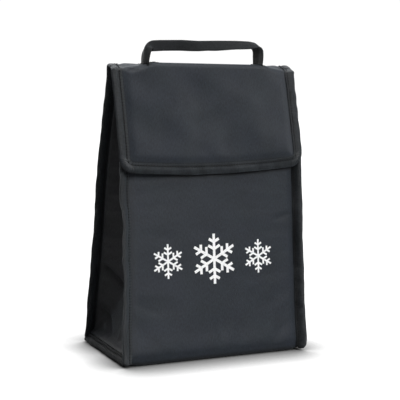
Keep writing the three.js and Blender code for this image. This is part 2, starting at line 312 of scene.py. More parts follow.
# Meshes.
def make_object(name, vertices, faces, uvs=None, flat=False):
    mesh = bpy.data.meshes.new(name)
    mesh.from_pydata([tuple(v) for v in vertices], [], faces)
    mesh.update()
    if uvs is not None:
        layer = mesh.uv_layers.new(name="UVMap")
        loops = np.zeros(len(mesh.loops), np.int32)
        mesh.loops.foreach_get("vertex_index", loops)
        layer.data.foreach_set("uv", np.asarray(uvs, float)[loops].ravel())
    for p in mesh.polygons:
        p.use_smooth = not flat
    mesh.validate()
    made = bpy.data.objects.new(name, mesh)
    bpy.context.scene.collection.objects.link(made)
    return made


def outward(made, sharp=50):
    """Turns the faces of a closed mesh outwards, and keeps the edges that turn more degrees sharp."""
    bm = bmesh.new()
    bm.from_mesh(made.data)
    bmesh.ops.recalc_face_normals(bm, faces=bm.faces)
    for e in bm.edges:
        if len(e.link_faces) == 2 and e.calc_face_angle(0) > math.radians(sharp):
            e.smooth = False
    bm.to_mesh(made.data)
    bm.free()
    return made


def grid_faces(rows, cols):
    """The corners of each square of a grid of points."""
    corners = [(i * cols + j, (i + 1) * cols + j) for i in range(rows - 1) for j in range(cols - 1)]
    return [(a, a + 1, b + 1, b) for a, b in corners]


def closed_sheet(name, outer, inner, uv):
    """A closed thin sheet between two grids of points."""
    rows, cols = outer.shape[:2]
    count = rows * cols
    index = np.arange(count).reshape(rows, cols)
    faces = []
    for a, b, c, d in grid_faces(rows, cols):
        faces += [(a, b, c, d), (count + d, count + c, count + b, count + a)]
    rim = [int(k) for k in (*index[0, :], *index[1:, -1], *index[-1, -2::-1], *index[-2:0:-1, 0])]
    faces += [(b, a, count + a, count + b) for a, b in zip(rim, [*rim[1:], rim[0]])]
    vertices = np.concatenate([outer.reshape(-1, 3), inner.reshape(-1, 3)])
    return outward(make_object(name, vertices, faces, np.concatenate([uv.reshape(-1, 2)] * 2)))


def panel(name, strip, s0, s1, layer, tuck=TUCK, side=None, step=STEP):
    """One layer of a strip's wall, between depths layer[0] and layer[1], tucked into its bound seams.
    side(s) may give the left and right ends instead."""
    s = np.linspace(s0, s1, max(3, int((s1 - s0) / step) + 1))
    left, right = strip.edges(s) if side is None else side(s)
    share = np.linspace(0, 1, max(3, int((right - left).max() / step) + 1))
    x = (left - tuck)[:, None] * (1 - share) + (right + tuck)[:, None] * share
    s = s[:, None] + 0 * x
    outer, inner = (strip.point(x, s, depth) for depth in layer)
    return closed_sheet(name, outer, inner, np.stack([x, s], axis=-1))


def ring_faces(rings, sides, base=0):
    """The faces of a tube of rings of vertices, with its two caps."""
    faces = []
    for i in range(rings - 1):
        for j in range(sides):
            k = (j + 1) % sides
            a = base + i * sides
            faces.append((a + j, a + k, a + sides + k, a + sides + j))
    faces.append(tuple(range(base + sides - 1, base - 1, -1)))
    faces.append(tuple(range(base + (rings - 1) * sides, base + rings * sides)))
    return faces


def sweep(name, spine, lateral, normal, section):
    """A closed section of (a, b) points, one per place on the spine: a along lateral, b along normal."""
    n, m = section.shape[:2]
    sideways = section[:, :, :1] * lateral[:, None, :]
    rings = spine[:, None, :] + sideways + section[:, :, 1:] * normal[:, None, :]
    uv = np.stack(np.meshgrid(distances(spine), distances(section[n // 2]), indexing="ij"), axis=-1)
    return outward(make_object(name, rings.reshape(-1, 3), ring_faces(n, m), uv.reshape(-1, 2)))


def tape_section(width):
    """A folded tape: its outer face round the seam, then its inner face back. a = 0 is its inner edge."""
    outer = [
        (0.0, TAPE_HALF - 0.35 * MM),
        (0.5 * MM, TAPE_HALF - 0.12 * MM),
        (STITCH_INSET, TAPE_HALF - 0.25 * MM),
        (2 * STITCH_INSET, TAPE_HALF - 0.05 * MM),
        (width - 1.25 * TAPE_NOSE, TAPE_HALF),
    ]
    hollow = TAPE_HALF - TAPE_CLOTH
    inner = [(0.0, hollow), (STITCH_INSET, hollow - STITCH_DIP), (2 * STITCH_INSET, hollow)]
    turns = [math.pi / 2 * (1 - 2 * i / 6) for i in range(7)]

    def nose(length, height):
        return [(width - TAPE_NOSE + length * math.cos(t), height * math.sin(t)) for t in turns]

    def below(points):
        return [(a, -b) for a, b in points]

    outside = outer + nose(TAPE_NOSE, TAPE_HALF) + below(outer[::-1])
    return np.array(outside + below(inner) + nose(TAPE_NOSE - TAPE_CLOTH, hollow)[::-1] + inner[::-1])


def tape(name, spine, lateral, normal, width, seed, lean=0.0, foot=False):
    """A bound seam: tape folded round an edge, drawn in at each stitch, and turned towards its normal by
    lean at each place. Its ends lie true, to meet the next tape; a foot rounds its start off instead.
    Returns the tape and its stitches."""
    length = distances(spine)
    index = np.arange(len(spine))
    calm = smooth(0, 12 * MM, length[-1] - length)
    if not foot:
        calm = calm * calm[::-1]
    even = np.interp(np.arange(0, length[-1], STITCH_PITCH / 5), length, index)
    lean, calm = (np.interp(even, index, values) for values in (lean + np.zeros(len(spine)), calm))
    spine, lateral, normal = pick(spine, even), unit(pick(lateral, even)), unit(pick(normal, even))
    along = distances(spine)

    def waver(size, extra):
        return wander(along, 0 * along, size, seed + extra)

    bow = (0.35 * MM * waver(26 * MM, 0) + 0.2 * MM * waver(9 * MM, 1)) * calm
    tilt = lean + (0.18 * waver(34 * MM, 2) + 0.15 * waver(11 * MM, 3)) * calm
    growth = 1 + 0.04 * calm * waver(30 * MM, 4)
    if foot:
        growth = growth * (0.6 + 0.4 * np.sqrt(1 - np.clip(1 - along / (4 * MM), 0, 1) ** 2))
    pull = 0.5 + 0.5 * np.cos(2 * math.pi * (along - STITCH_PITCH / 2) / STITCH_PITCH)
    cos, sin = np.cos(tilt)[:, None], np.sin(tilt)[:, None]
    lateral, normal = lateral * cos + normal * sin, normal * cos - lateral * sin
    a, b = np.repeat(tape_section(width)[None], len(spine), axis=0).transpose(2, 0, 1)
    near = np.exp(-((a - STITCH_INSET) / (1.3 * MM)) ** 2) * (np.abs(b) > TAPE_HALF - TAPE_CLOTH)
    lip = np.exp(-a / (1.0 * MM))
    out = a * growth[:, None] + lip * 0.5 * MM * (pull[:, None] - 0.5)
    up = b - np.sign(b) * near * STITCH_DIP * (0.8 + 0.5 * pull[:, None]) + bow[:, None]
    made = sweep(name, spine, lateral, normal, np.stack([out, up], axis=-1))
    at = np.interp(np.arange(STITCH_PITCH / 2, along[-1], STITCH_PITCH), along, np.arange(len(along)))
    rows = []
    for way in (1, -1):
        height = way * (TAPE_HALF - 0.7 * MM)
        line = spine + STITCH_INSET * lateral + (height + bow)[:, None] * normal
        heading = unit(np.gradient(line, axis=0))
        rows.append((pick(line, at), unit(pick(heading, at)), way * unit(pick(normal, at))))
    places, headings, normals = (np.concatenate(part) for part in zip(*rows))
    return made, stitches(name + "_stitches", places, headings, normals)


def stitches(name, places, along, normal):
    """Short lengths of sewing thread, each dipping into the cloth at both ends."""
    rings, sides = 5, 6
    vertices, faces = [], []
    for p, t, n in zip(places, along, normal):
        b = np.cross(t, n)
        faces += ring_faces(rings, sides, len(vertices))
        for i in range(rings):
            u = i / (rings - 1) * 2 - 1
            radius = THREAD * (0.35 + 0.65 * math.sqrt(max(0.0, 1 - u * u)))
            centre = p + t * (u * STITCH_LENGTH / 2) + n * (THREAD * 0.9 * (1 - u * u) - THREAD * 0.35)
            for j in range(sides):
                angle = 2 * math.pi * j / sides
                vertices.append(centre + radius * (math.cos(angle) * n + math.sin(angle) * b))
    return outward(make_object(name, vertices, faces), sharp=180)


# Cloth simulation: a panel is cut a little larger than the edges it is sewn to, and foam presses it out.
CLOTH_CELL = 4 * MM
CLOTH_SCALE = 10  # the solver works on a panel this many times larger
CLOTH_FRAMES = 20
FOAM_HOLD = 0.03  # how firmly the foam holds the cloth back, beside 1 for the stitches
CLOTH_SETTINGS = {
    "quality": 5,
    "mass": 0.3,
    "tension_stiffness": 15,
    "compression_stiffness": 15,
    "shear_stiffness": 5,
    "bending_stiffness": 0.4,
    "vertex_group_mass": "sewn",
    "use_pressure": True,
    "uniform_pressure_force": 0.3,
}


def simulate(width, length, seed, slack):
    """Heights of a sewn-down cloth panel after it has settled, as rows of columns."""
    cols, rows = int(width / CLOTH_CELL) + 1, int(length / CLOTH_CELL) + 1
    xs = np.linspace(0, width, cols) * CLOTH_SCALE
    ys = np.linspace(0, length, rows) * CLOTH_SCALE
    x, y = np.meshgrid(xs, ys)
    uneven = 0.4 * MM * CLOTH_SCALE * wander(x, y, 25 * MM * CLOTH_SCALE, seed)
    points = np.stack([x, y, uneven], axis=-1).reshape(-1, 3)
    trial = make_object("cloth_trial", points, grid_faces(rows, cols))
    sewn = trial.vertex_groups.new(name="sewn")
    for k in range(rows * cols):
        at_rim = k // cols in (0, rows - 1) or k % cols in (0, cols - 1)
        sewn.add([k], 1.0 if at_rim else FOAM_HOLD, "REPLACE")
    cloth = trial.modifiers.new("cloth", "CLOTH")
    for key, value in CLOTH_SETTINGS.items():
        setattr(cloth.settings, key, value)
    cloth.settings.shrink_min = -slack
    cloth.settings.effector_weights.gravity = 0
    cloth.point_cache.frame_end = CLOTH_FRAMES
    for step in range(1, CLOTH_FRAMES + 1):
        bpy.context.scene.frame_set(step)
    settled = trial.evaluated_get(bpy.context.evaluated_depsgraph_get())
    heights = np.array([v.co.z for v in settled.data.vertices]).reshape(rows, cols) / CLOTH_SCALE
    mesh = trial.data
    bpy.data.objects.remove(trial)
    bpy.data.meshes.remove(mesh)
    bpy.context.scene.frame_set(1)
    return heights


def soften(grid, times):
    """Rounds a grid of points or heights off in place, leaving its rim where it is."""
    for _ in range(times):
        inner = grid[1:-1, 1:-1]
        around = grid[:-2, 1:-1] + grid[2:, 1:-1] + grid[1:-1, :-2] + grid[1:-1, 2:]
        grid[1:-1, 1:-1] = 0.5 * inner + 0.125 * around
    return grid


class Settled:
    """How a simulated panel stands off its flat line: a broad swell with that rise, and wrinkles that are
    kept to that height."""

    def __init__(self, x0, x1, s0, s1, seed, slack, rise, wrinkle):
        heights = simulate(x1 - x0, s1 - s0, seed, slack)
        rows, cols = heights.shape
        self.x = np.linspace(x0, x1, 2 * cols - 1)
        self.s = np.linspace(s0, s1, 2 * rows - 1)
        wide = np.array([np.interp(self.x, np.linspace(x0, x1, cols), row) for row in heights])
        fine = np.array([np.interp(self.s, np.linspace(s0, s1, rows), column) for column in wide.T]).T
        fine = soften(fine, 2)
        broad = soften(fine.copy(), 160)
        wrinkles = fine - broad
        wrinkles = wrinkle * np.tanh(wrinkles / (2 * wrinkles.std()))
        self.height = rise * broad / np.abs(broad).max() + wrinkles

    def at(self, x, s):
        x, s = np.broadcast_arrays(np.asarray(x, float), np.asarray(s, float))
        i = np.clip(np.interp(s, self.s, np.arange(len(self.s))), 0, len(self.s) - 1.001)
        j = np.clip(np.interp(x, self.x, np.arange(len(self.x))), 0, len(self.x) - 1.001)
        a, b = i.astype(int), j.astype(int)
        u, v = i - a, j - b
        near = self.height[a, b] * (1 - v) + self.height[a, b + 1] * v
        far = self.height[a + 1, b] * (1 - v) + self.height[a + 1, b + 1] * v
        return near * (1 - u) + far * u


# The top of the bag. Its rear fold is level and its front fold is arched, so the crest tilts at its ends.
def crown(x, y):
    front = 1 - smooth(CREST_LOW.y + 2 * MM, CREST_HIGH.y, y)
    corner_share = smooth(DROP_FROM, DROP_TO, np.abs(x))
    level = REAR_RISE * (0.1 + corner_share + 1.2 * smooth(50 * MM, EDGE, x))
    return front * (ARCH - CORNER_DROP * corner_share) + (1 - front) * level


def shift_top(points):
    x, y, z = points[..., 0], points[..., 1], points[..., 2]
    rise = crown(x, y) * smooth(MOUTH_Z - 8 * MM, CREST_Z, z)
    return points + np.stack([0 * rise, 0 * rise, rise], axis=-1)


# The three bands of the wall. Each relief fades towards the floor, the mouth and the crest.
def below_crest(z):
    return 1 - smooth(CREST_Z - 22 * MM, CREST_Z - 2 * MM, z)


def swell(z, height, middle, spread):
    return height * np.exp(-(((z - middle) / spread) ** 2))


def front_relief(x, s):
    z = FRONT_LINE.at(s)[1]
    folds = creased(0.4 * MM * wander(x, s, 62 * MM, 1), x, z, FRONT_CREASES)
    settled = smooth(2 * MM, 12 * MM, z) * (1 - 0.8 * smooth(MOUTH_Z - 20 * MM, MOUTH_Z, z))
    return (FRONT_CLOTH.at(x, s) + folds + swell(z, *BELLY)) * settled


def flap_relief(x, s):
    down = below_crest(FLAP_LINE.at(s)[1])
    folds = 0.45 * MM * wander(x, s, 58 * MM, 11)
    # The flap is pinched at both ends of its fold.
    fold = CREST_Y - CREST_LOW.y
    pinch = crease(x, s, (-88 * MM, fold + 2 * MM), (-60 * MM, fold - 2 * MM), 1.2 * MM, 2.2 * MM)
    pinch = pinch + crease(x, s, (88 * MM, fold + 2 * MM), (66 * MM, fold - 1 * MM), 1.5 * MM, 1.2 * MM)
    return FLAP_CLOTH.at(x, s) * down + pinch + folds * (0.25 + 0.75 * down)


def back_relief(x, s):
    z = BACK_LINE.at(s)[1]
    down = below_crest(z)
    folds = 0.5 * MM * wander(x, s, 64 * MM, 21)
    settled = smooth(2 * MM, 12 * MM, z)
    return swell(z, *BULGE) * down + (BACK_CLOTH.at(x, s) + folds) * settled * (0.2 + 0.8 * down)


FLAP_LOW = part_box("flap_outer")[0].z
FLAP_END = on_line(*FLAP, FLAP_LOW), FLAP_LOW
FLAP_TAIL = on_line(*FLAP, FLAP_LOW - 20 * MM), FLAP_LOW - 20 * MM
FRONT_LINE = Path2([(-UNDER_Y, FLOOR_GAP), (FRONT[0][0], FLOOR_GAP), FRONT[1]], 4.5 * MM, -1)
BACK_LINE = Path2(
    [(UNDER_Y, FLOOR_GAP), (BACK[0][0], FLOOR_GAP), (CREST_HIGH.y, CREST_Z), (CREST_Y, CREST_Z)],
    FOLD_RADIUS, 1,
)
FLAP_LINE = Path2([(CREST_Y, CREST_Z), (CREST_LOW.y, CREST_Z), FLAP_TAIL], FOLD_RADIUS, 1)
FLAP_SEAM = FLAP_LINE.nearest(*FLAP_END)


def wall_cloth(s0, s1, **settings):
    """A simulated panel between the bound seams, from s0 to s1."""
    half = EDGE - TAPE_WIDTH
    return Settled(-half, half, s0, s1, slack=0.03, **settings)


FRONT_CLOTH = wall_cloth(
    FRONT_LINE.nearest(*FRONT[0]), FRONT_LINE.length, seed=1, rise=1.5 * MM, wrinkle=0.34 * MM
)
BACK_CLOTH = wall_cloth(
    BACK_LINE.nearest(*BACK[0]), BACK_LINE.nearest(CREST_HIGH.y, CREST_Z),
    seed=2, rise=1.8 * MM, wrinkle=0.5 * MM,
)
FLAP_CLOTH = wall_cloth(
    FLAP_LINE.nearest(CREST_LOW.y, CREST_Z), FLAP_SEAM, seed=3, rise=1.5 * MM, wrinkle=0.3 * MM
)


def flap_sag(x, s):
    """The flap's bottom edge hangs lowest left of its middle."""
    low = SAG - SAG_RISE[0] * ((x - SAG_X) / SAG_RISE[1]) ** 2
    return low * np.clip(s / FLAP_SEAM, 0, 1.2) ** 2


def front_edges(s):
    """The bound seams' inner edges. The left one leans in, and both draw in behind the flap."""
    z = FRONT_LINE.at(s)[1]
    gather = GATHER * smooth(FLAP[0][1] + 8 * MM, MOUTH_Z - 10 * MM, z)
    left = -(EDGE - FRONT_LEFT[0]) + FRONT_LEFT[1] * z + gather
    right = EDGE - FRONT_RIGHT[0] + FRONT_RIGHT[1] * z - gather
    return left, right


def flap_edges(s):
    """The flap hangs a little askew, and its edges move to the right on the crest."""
    above = FLAP_LINE.at(s)[1] - FLAP[0][1]
    crest = 1 - smooth(0, 16 * MM, s)
    left = -(EDGE - TAPE_WIDTH) + FLAP_LEFT[0] - FLAP_LEFT[1] * above + 2 * MM * crest
    right = EDGE - TAPE_WIDTH + FLAP_RIGHT[0] - FLAP_RIGHT[1] * above + 2.5 * MM * crest
    return left, right


def back_edges(s):
    """They run straight up, and meet the flap's at the crest."""
    half = EDGE - TAPE_WIDTH + 0.2 * MM
    top = smooth(CREST_Z - 14 * MM, CREST_Z - 1 * MM, BACK_LINE.at(s)[1])
    left, right = flap_edges(0.0)
    return -half * (1 - top) + left * top, half * (1 - top) + right * top


front_wall = Strip(FRONT_LINE, front_relief, front_edges, shift_top)
flap_wall = Strip(FLAP_LINE, flap_relief, flap_edges, shift_top, FLAP_SEAM, flap_sag)
back_wall = Strip(BACK_LINE, back_relief, back_edges, shift_top)

# Where each joint's cloth bends, as (body, body, start, end).
FRONT_FOOT = ("shell", "front_wall", (0, FRONT[0][0] + 5 * MM, 0), (0, FRONT[0][0] + 3 * MM, 14 * MM))
REAR_FOLD = (
    "shell", "crest", (0, CREST_HIGH.y + 8 * MM, CREST_Z - 5 * MM), (0, CREST_HIGH.y - 6 * MM, CREST_Z)
)
FRONT_FOLD = (
    "crest", "flap", (0, CREST_LOW.y + 6 * MM, CREST_Z), (0, CREST_LOW.y - 4 * MM, CREST_Z - 9 * MM)
)


# Materials.
def join(tree, node, inputs):
    """Gives each input of a node its value, or joins it to another node's output."""
    for key, value in inputs.items():
        if isinstance(value, bpy.types.NodeSocket):
            tree.links.new(value, node.inputs[key])
        else:
            node.inputs[key].default_value = value


def add(tree, kind, inputs=None, **settings):
    """A new node of that kind, with those settings and inputs."""
    node = tree.nodes.new("ShaderNode" + kind)
    for key, value in settings.items():
        setattr(node, key, value)
    join(tree, node, inputs or {})
    return node


def math_node(tree, operation, *values):
    return add(tree, "Math", dict(enumerate(values)), operation=operation).outputs[0]


def cloth_uv(tree, size, turn=0.0, stretch=1.0):
    """Texture coordinates of the cloth, in units of that size, turned by an angle."""
    uv = add(tree, "UVMap", uv_map="UVMap").outputs["UV"]
    scale = (1 / size, 1 / (size * stretch), 1)
    return add(tree, "Mapping", {"Vector": uv, "Rotation": (0, 0, turn), "Scale": scale}).outputs["Vector"]


def clouds(tree, place, detail, roughness=0.5):
    """Noise with features of about one unit of that place."""
    inputs = {"Vector": place, "Scale": 1.0, "Detail": detail, "Roughness": roughness}
    return add(tree, "TexNoise", inputs).outputs["Fac"]


def cells(tree, size):
    return add(tree, "TexVoronoi", {"Vector": cloth_uv(tree, size), "Scale": 1.0}).outputs["Distance"]


def ramp(tree, value, first, last, low=0.0, high=1.0):
    """The first colour where the value is low, the last one where it is high."""
    made = add(tree, "ValToRGB", {"Fac": value})
    for stop, place, colour in zip(made.color_ramp.elements, (low, high), (first, last)):
        stop.position = place
        stop.color = (*colour, 1)
    return made.outputs["Color"]


def multiply(tree, a, b):
    inputs = {"Factor": 1.0, "A": a, "B": b}
    return add(tree, "Mix", inputs, data_type="RGBA", blend_type="MULTIPLY").outputs["Result"]


def bump(tree, height, strength, depth):
    inputs = {"Height": height, "Strength": strength, "Distance": depth}
    return add(tree, "Bump", inputs).outputs["Normal"]


def new_material(name):
    material = bpy.data.materials.new(name)
    material.use_nodes = True
    return material, material.node_tree


def cloth_material(name, dark, light, thread, rough, sheen, relief, bands="DIAGONAL"):
    """Woven cloth. thread is the weave's pitch, relief its strength, and bands the way its ribs run."""
    material, tree = new_material(name)
    waves = {"Vector": cloth_uv(tree, thread), "Scale": 0.5, "Distortion": 1.2, "Detail Scale": 1.5}
    weave = add(tree, "TexWave", waves, bands_direction=bands).outputs["Fac"]
    fleck = clouds(tree, cloth_uv(tree, 1.5 * thread, turn=0.7, stretch=2.2), 3.0, 0.7)
    patch = clouds(tree, cloth_uv(tree, 26 * MM), 4.0)
    contrast = math_node(tree, "MULTIPLY_ADD", fleck, 1.7, -0.6)
    tone = math_node(tree, "MULTIPLY_ADD", patch, 0.5, contrast)
    colour = ramp(tree, tone, dark, light, 0.2, 0.95)

    # Large soft patches lean towards green, as dyed cloth does.
    hue = clouds(tree, cloth_uv(tree, 34 * MM, turn=0.4), 2.0)
    tint = ramp(tree, hue, (0.94, 1.0, 0.97), (1.0, 0.98, 1.04), 0.35, 0.65)
    colour = multiply(tree, colour, tint)

    # Painted shade: ambient occlusion darkens the cloth's colour in its grooves and creases, so they stay
    # darker than the open cloth.
    groove_shade = add(tree, "AmbientOcclusion", {"Distance": 6 * MM}).outputs["AO"]
    colour = multiply(tree, colour, math_node(tree, "POWER", groove_shade, 2.2))

    height = math_node(tree, "ADD", weave, fleck)
    looks = {
        "Base Color": colour,
        "Normal": bump(tree, height, relief, 0.25 * thread),
        "Roughness": rough,
        "Sheen Weight": sheen,
        "Sheen Roughness": 0.45,
        "Sheen Tint": (0.75, 0.88, 1.0, 1),
        "Specular IOR Level": 0.35,
    }
    join(tree, tree.nodes["Principled BSDF"], looks)
    return material


def patterned_material(name, pattern, first, last, relief, looks, stops=(0.0, 1.0)):
    """A material whose colour and relief follow one pattern. relief is its strength and its depth."""
    material, tree = new_material(name)
    value = pattern(tree)
    looks = {key: look(tree, value) if callable(look) else look for key, look in looks.items()}
    looks["Base Color"] = ramp(tree, value, first, last, *stops)
    looks["Normal"] = bump(tree, value, *relief)
    join(tree, tree.nodes["Principled BSDF"], looks)
    return material


def foil_gloss(tree, value):
    return add(tree, "MapRange", {"Value": value, "To Min": 0.22, "To Max": 0.45}).outputs["Result"]


FABRIC = cloth_material(
    "cover fabric", (0.0048, 0.0074, 0.0120), (0.0162, 0.0230, 0.0335), 0.9 * MM,
    rough=0.55, sheen=0.16, relief=0.6,
)
SIDE = cloth_material(
    "side fabric", (0.0130, 0.0128, 0.0140), (0.0390, 0.0384, 0.0420), 0.9 * MM,
    rough=0.5, sheen=0.18, relief=0.6,
)
BINDING = cloth_material(
    "binding tape", (0.0036, 0.0048, 0.0062), (0.0215, 0.0255, 0.0300), 1.1 * MM,
    rough=0.45, sheen=0.2, relief=0.8, bands="X",
)
WEBBING = cloth_material(
    "webbing", (0.0018, 0.0022, 0.0028), (0.0085, 0.0098, 0.0120), 1.4 * MM,
    rough=0.55, sheen=0.1, relief=0.9, bands="X",
)
# Painted shade: the base's tape is a much darker copy of the binding tape, with less sheen, standing in for
# the shade low down by the floor.
SHADED_BASE_TAPE = cloth_material(
    "base tape", (0.0008, 0.0010, 0.0013), (0.0045, 0.0049, 0.0056), 1.1 * MM,
    rough=0.6, sheen=0.06, relief=0.9, bands="X",
)
THREAD_LOOK = cloth_material(
    "sewing thread", (0.001, 0.001, 0.002), (0.006, 0.006, 0.008), 0.4 * MM,
    rough=0.6, sheen=0.0, relief=0.4,
)
FOAM = patterned_material(
    "foam", lambda tree: cells(tree, 0.8 * MM), (0.80, 0.80, 0.77), (0.68, 0.68, 0.65),
    (0.5, 0.2 * MM), {"Roughness": 0.9},
)
FOIL = patterned_material(
    "foil lining", lambda tree: clouds(tree, cloth_uv(tree, 9 * MM), 6.0, 0.62),
    (0.50, 0.52, 0.54), (0.78, 0.80, 0.82), (0.6, 0.6 * MM), {"Metallic": 0.85, "Roughness": foil_gloss},
)
CLOSURE = patterned_material(
    "hook and loop", lambda tree: cells(tree, 0.9 * MM), (0.030, 0.031, 0.033), (0.008, 0.008, 0.009),
    (0.9, 0.5 * MM), {"Roughness": 0.95, "Sheen Weight": 0.5},
)
PRINT = patterned_material(
    "white print", lambda tree: clouds(tree, cloth_uv(tree, 2 * MM), 3.0),
    (0.70, 0.71, 0.72), (0.93, 0.93, 0.93), (0.3, 0.2 * MM), {"Roughness": 0.5}, stops=(0.25, 0.5),
)


def finish_piece(made, material, slot, *cad):
    made.data.materials.append(material)
    if cad:
        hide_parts(*cad)


def follow(piece, fold):
    """fold is the body that the piece rides on, or where it bends between two bodies; there the piece is only
    fixed in place.
    """
    if isinstance(fold, str):
        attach(piece, fold)
    else:
        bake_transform(piece)


# The walls: each is a cover, a foam layer and a foil lining, as (name, CAD name, depths, slot, material).
LAYERS = (
    ("cover", "outer", COVER, "fabric", FABRIC),
    ("foam_layer", "foam", PADDING, "foam", FOAM),
    ("foil", "lining", LINING, "foil", FOIL),
)


def build_wall(name, strip, s0, s1, fold, cad, tuck=TUCK):
    for part, node, depths, slot, material in LAYERS:
        made = panel(f"{name}_{part}", strip, s0, s1, depths, tuck)
        finish_piece(made, material, slot, *(f"{wall}_{node}" for wall in cad))
        follow(made, fold)


build_wall("front", front_wall, 0, FRONT_LINE.length, FRONT_FOOT, ["front"])
build_wall("back", back_wall, 0, BACK_LINE.length - 0.1 * MM, REAR_FOLD, ["back"])
build_wall("flap", flap_wall, 0.1 * MM, FLAP_SEAM + TUCK, FRONT_FOLD, ["flap", "crest"])


# The base lies on the floor and turns up at both sides to its bound edges.
BASE_LINE = Path2([(-UNDER_Y, FLOOR_GAP), (UNDER_Y, FLOOR_GAP)], 0, 1)
BASE_HALF = EDGE - 0.58 * TAPE_WIDTH


def base_relief(x, s):
    reach = np.clip((np.abs(x) - (BASE_HALF - BASE_TURN)) / BASE_TURN, 0, 1)
    return (BASE_SINK - BASE_RISE) * (1 - np.sqrt(1 - (0.98 * reach) ** 2)) / 0.8


def base_edges(s):
    half = BASE_HALF + 0 * np.asarray(s)
    return -half, half


base = Strip(BASE_LINE, base_relief, base_edges, lambda points: points)
build_wall("base", base, 0, BASE_LINE.length, "shell", ["base"], tuck=0)


# The gussets fold inwards above a triangle that stands on the base.
def gusset_profile(side, z):
    """(x, y) corners of a gusset's section at one height, from the front seam to the back one."""
    front_at = FRONT_LINE.nearest(on_line(*FRONT, z), z)
    back_at = BACK_LINE.nearest(on_line(*BACK, z), z)
    x_front = abs(front_edges(front_at)[0 if side < 0 else 1])
    x_back = back_edges(back_at)[1]
    front = front_wall.plain(side * x_front, front_at, SEAM_DEPTH)[1]
    back = back_wall.plain(side * x_back, back_at, SEAM_DEPTH)[1]
    share = min(1.0, z / APEX_Z)
    middle = (front + back) / 2
    half = max(1 * MM, (back - front) / 2 * (1 - share))
    fold = (x_front + x_back) / 2 - GUSSET_FOLD * share
    return [
        (side * (x_front + FLANGE), front + INSIDE_SEAM),
        (side * (x_front + FLANGE_START), front + INSIDE_SEAM),
        (side * (x_front - FLANGE_END), front + BESIDE_SEAM),
        (side * fold, middle - half),
        (side * fold, middle + half),
        (side * (x_back - FLANGE_END), back - BESIDE_SEAM),
        (side * (x_back + FLANGE_START), back - INSIDE_SEAM),
        (side * (x_back + FLANGE), back - INSIDE_SEAM),
    ]


def gusset_surface(side, seed):
    """The grid of points of a gusset's outer face: its plain fold, with its flared foot, sag and creases."""
    ends = np.linspace(0, 1, GUSSET_COLUMNS)
    rows = []
    for z in np.arange(GUSSET_FOOT, GUSSET_TOP, GUSSET_STEP):
        corners = np.array(gusset_profile(side, z), float)
        along = distances(corners)
        x, y = (np.interp(np.linspace(0, along[-1], GUSSET_COLUMNS), along, corners[:, k]) for k in (0, 1))
        rows.append(np.column_stack([x, y, np.full(GUSSET_COLUMNS, z)]))
    grid = soften(np.array(rows), 3)
    # The foot flares out to the base's bound edge.
    flare = (1 - smooth(GUSSET_FOOT, GUSSET_FOOT + 9 * MM, grid[..., 2])) ** 2
    reach = np.maximum(0, EDGE - 0.53 * TAPE_WIDTH - np.abs(grid[..., 0]))
    grid[..., 0] += side * flare * reach
    y, z = grid[..., 1], grid[..., 2]
    cloth = Settled(
        0, GUSSET_WIDTH, GUSSET_FOOT, GUSSET_TOP, seed=seed, slack=0.05, rise=0.6 * MM, wrinkle=1.3 * MM,
    )
    share = ends[None, :] + 0 * z
    sag = 1.2 * MM * wander(y, z, 42 * MM, seed) + cloth.at(share * GUSSET_WIDTH, z)
    sag = creased(sag, y, z, GUSSET_CREASES)
    still = smooth(0, 0.12, ends) * (1 - smooth(0.88, 1, ends))
    lift = sag * still[None, :] * smooth(GUSSET_FOOT, GUSSET_FOOT + 12 * MM, z)
    return grid + grid_normals(grid, side) * lift[..., None]


def grid_normals(grid, side):
    normal = unit(np.cross(np.gradient(grid, axis=1), np.gradient(grid, axis=0)))
    return normal * np.sign(normal[len(grid) // 2, 4, 0] * side)


def turn_in(face, surface, normal, squeeze, depth):
    """Adds to a face of the gusset's cover the rows that go over its top edge and down the inside."""
    far = LINING[1] + 0.15 * MM + COVER[1]
    middle, radius = far / 2, far / 2 - depth
    down = unit(surface[-4] - surface[-1])
    turns = np.linspace(0, math.pi, 9)[1:]
    over = [(middle - radius * math.cos(t), -0.8 * radius * math.sin(t)) for t in turns]
    inside = [(middle + radius, drop) for drop in np.linspace(0, GUSSET_HEM, 5)[1:]]
    added = [
        surface[-1] - normal[-1] * (inwards * squeeze)[:, None] + down * drop
        for inwards, drop in over + inside
    ]
    return np.concatenate([face, np.array(added)])


def build_gusset(side, word, seed):
    surface = gusset_surface(side, seed)
    normal = grid_normals(surface, side)
    height = surface[..., 2]
    uv = np.stack([np.linspace(0, 0.13, GUSSET_COLUMNS)[None, :] + 0 * height, height], axis=-1)
    edge = np.linspace(0, 1, GUSSET_COLUMNS)
    squeeze = SQUEEZE + (1 - SQUEEZE) * smooth(0, 0.1, np.minimum(edge, 1 - edge))
    for part, node, depths, slot, material in LAYERS:
        faces = [surface - normal * (depth * squeeze)[None, :, None] for depth in depths]
        places, long = uv, GUSSET_TOP
        if part == "cover":
            material, long = SIDE, GUSSET_TOP + GUSSET_HEM
            faces = [turn_in(face, surface, normal, squeeze, depth) for face, depth in zip(faces, depths)]
            extra = np.arange(1, len(faces[0]) - len(uv) + 1)
            places = np.concatenate([uv, uv[-1:] + extra[:, None, None] * np.array([0, 1 * MM])])
        made = closed_sheet(f"gusset_{word}_{part}", *faces, places)
        finish_piece(made, material, slot, f"gusset_{word}_{node}")
        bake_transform(made)


for side, word, seed in ((-1, "left", 31), (1, "right", 41)):
    build_gusset(side, word, seed)


# The bound seams.
def sew(made, thread, material, slot, fold, cad, flat, held):
    """Finishes a sewn piece and its stitches, which move together."""
    finish_piece(made, material, slot, *cad)
    finish_piece(thread, THREAD_LOOK, slot)
    follow(made, fold)
    follow(thread, fold)


